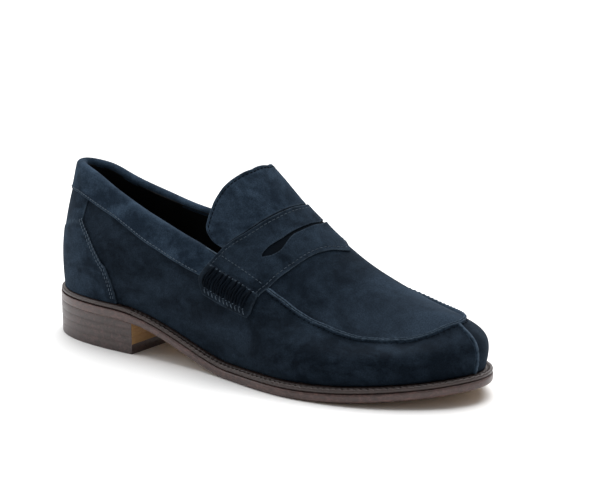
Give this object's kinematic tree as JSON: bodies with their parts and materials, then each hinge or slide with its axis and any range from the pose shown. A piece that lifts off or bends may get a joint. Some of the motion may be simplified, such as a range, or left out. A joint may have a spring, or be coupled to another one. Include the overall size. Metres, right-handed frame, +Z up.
{
  "type": "penny loafer",
  "caption": "Men's slip-on shoe with a moccasin apron, a slotted strap across the instep, a standing tongue and a stitched leather sole on a low stacked heel.",
  "frame": {"origin": "centre of the bounding box's bottom face, on the floor the shoe stands on", "axes": "+X from the heel to the toe, +Y to the medial (big-toe) side, +Z up"},
  "size_m": [0.302, 0.107, 0.1188],
  "materials": {
    "suede": "suede nap",
    "suede_trim": "suede nap",
    "lining_leather": "smooth, matt",
    "sole_leather": "edge painted brown, waxed",
    "heel_leather": "painted and waxed stacked leather",
    "welt_leather": "waxed dark brown",
    "insole_leather": "natural vegetable tanned",
    "rubber_tip": "matt",
    "cork": "ground cork",
    "board": "fibreboard",
    "steel": "plain",
    "brass": "plain",
    "foam": "thin foam"
  },
  "bodies": {
    "shoe": {"heel_tip_rubber": "rubber_tip", "heel_tip_leather": "sole_leather", "heel_lift_1": "heel_leather", "heel_lift_2": "heel_leather", "heel_lift_3": "heel_leather", "heel_nail_1": "steel", "heel_nail_2": "steel", "heel_nail_3": "steel", "heel_nail_4": "steel", "tip_nail_1": "brass", "tip_nail_2": "brass", "tip_nail_3": "brass", "tip_nail_4": "brass", "outsole": "sole_leather", "heel_rand": "welt_leather", "welt": "welt_leather", "heel_filler": "cork", "cork_filler": "cork", "insole": "insole_leather", "sock_liner": "lining_leather", "shank": "steel", "medial_side_panel": "suede", "lateral_side_panel": "suede", "apron": "suede", "collar_band": "suede_trim", "heel_foxing": "suede_trim", "saddle_strap": "suede_trim", "strap_tab_lateral": "suede_trim", "strap_tab_medial": "suede_trim", "heel_stiffener": "board", "medial_reinforcement": "board", "lateral_reinforcement": "board", "toe_puff": "board", "collar_padding": "foam", "quarter_lining": "lining_leather", "vamp_lining": "lining_leather"},
    "tongue": {"tongue": "suede", "tongue_lining": "lining_leather"}
  },
  "joints": [
    {"name": "tongue_flap", "type": "hinge", "parent": "shoe", "child": "tongue", "pos_m": [0.0215, 0.008, 0.0955], "axis": [0, 1, 0], "range_deg": [0, 24], "stiffness_Nm_per_rad": 0.06}
  ]
}
